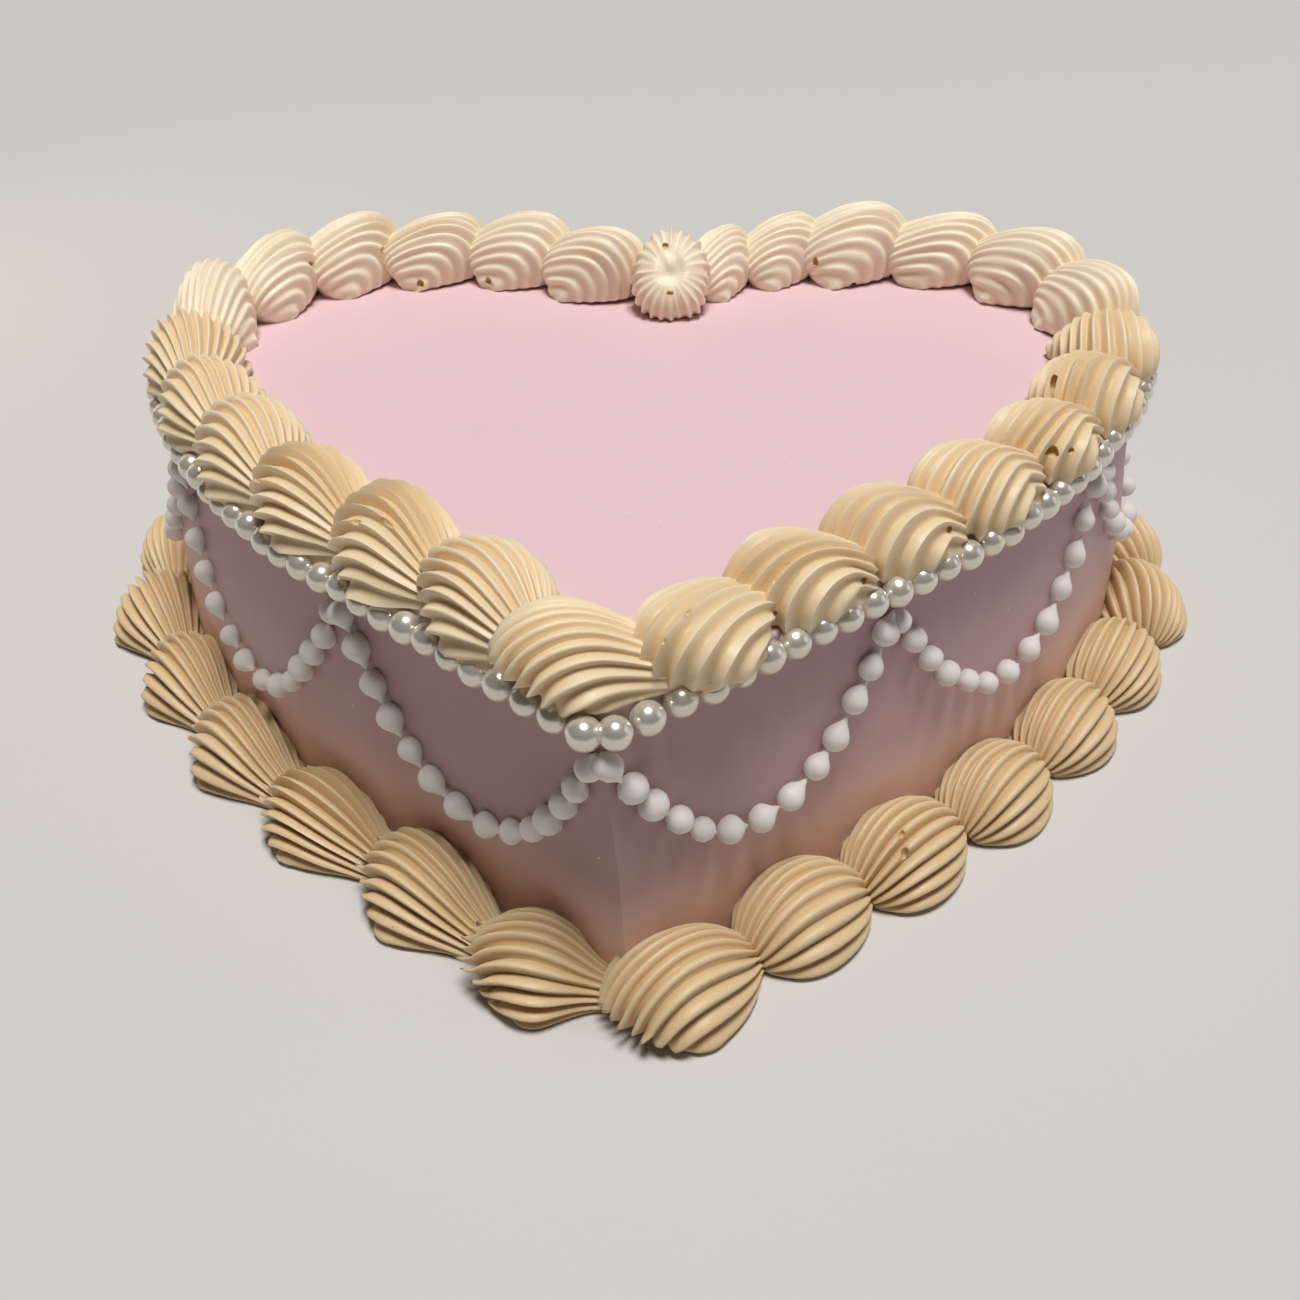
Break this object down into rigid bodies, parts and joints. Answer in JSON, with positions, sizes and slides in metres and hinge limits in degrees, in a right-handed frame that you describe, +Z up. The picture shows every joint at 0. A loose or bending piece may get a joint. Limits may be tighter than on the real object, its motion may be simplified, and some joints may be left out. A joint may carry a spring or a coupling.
{
  "type": "heart shaped cake",
  "caption": "Uncut heart shaped layer cake in smooth icing, with piped shell borders at its top edge and foot, a pearl chain and beaded swags on its wall.",
  "frame": {"origin": "middle of the bounding box's base, on the surface that the cake rests on", "axes": "+Z up; -Y toward the tip of the heart, +Y toward its lobes; +X to the right for a viewer at the tip"},
  "size_m": [0.3276, 0.2746, 0.1026],
  "materials": {
    "body_icing": "smooth satin whipped icing, pale pink",
    "top_cream": "soft matte piped buttercream, pale cream",
    "foot_cream": "soft matte piped buttercream, warm cream",
    "pearl": "pearl lustre on a sugar ball",
    "swag_icing": "matte white piped icing"
  },
  "bodies": {
    "root": {"cake_body": "body_icing", "rosette": "top_cream", "top_shell_01": "top_cream", "top_shell_02": "top_cream", "top_shell_03": "top_cream", "top_shell_04": "top_cream", "top_shell_05": "top_cream", "top_shell_06": "top_cream", "top_shell_07": "top_cream", "top_shell_08": "top_cream", "top_shell_09": "top_cream", "top_shell_10": "top_cream", "top_shell_11": "top_cream", "top_shell_12": "top_cream", "top_shell_13": "top_cream", "top_shell_14": "top_cream", "top_shell_15": "top_cream", "top_shell_16": "top_cream", "top_shell_17": "top_cream", "top_shell_18": "top_cream", "top_shell_19": "top_cream", "top_shell_20": "top_cream", "top_shell_21": "top_cream", "top_shell_22": "top_cream", "top_shell_23": "top_cream", "top_shell_24": "top_cream", "top_shell_25": "top_cream", "top_shell_26": "top_cream", "foot_shell_01": "foot_cream", "foot_shell_02": "foot_cream", "foot_shell_03": "foot_cream", "foot_shell_04": "foot_cream", "foot_shell_05": "foot_cream", "foot_shell_06": "foot_cream", "foot_shell_07": "foot_cream", "foot_shell_08": "foot_cream", "foot_shell_09": "foot_cream", "foot_shell_10": "foot_cream", "foot_shell_11": "foot_cream", "foot_shell_12": "foot_cream", "foot_shell_13": "foot_cream", "foot_shell_14": "foot_cream", "foot_shell_15": "foot_cream", "foot_shell_16": "foot_cream", "foot_shell_17": "foot_cream", "foot_shell_18": "foot_cream", "foot_shell_19": "foot_cream", "foot_shell_20": "foot_cream", "foot_shell_21": "foot_cream", "foot_shell_22": "foot_cream", "foot_shell_23": "foot_cream", "foot_shell_24": "foot_cream"}
  },
  "joints": []
}
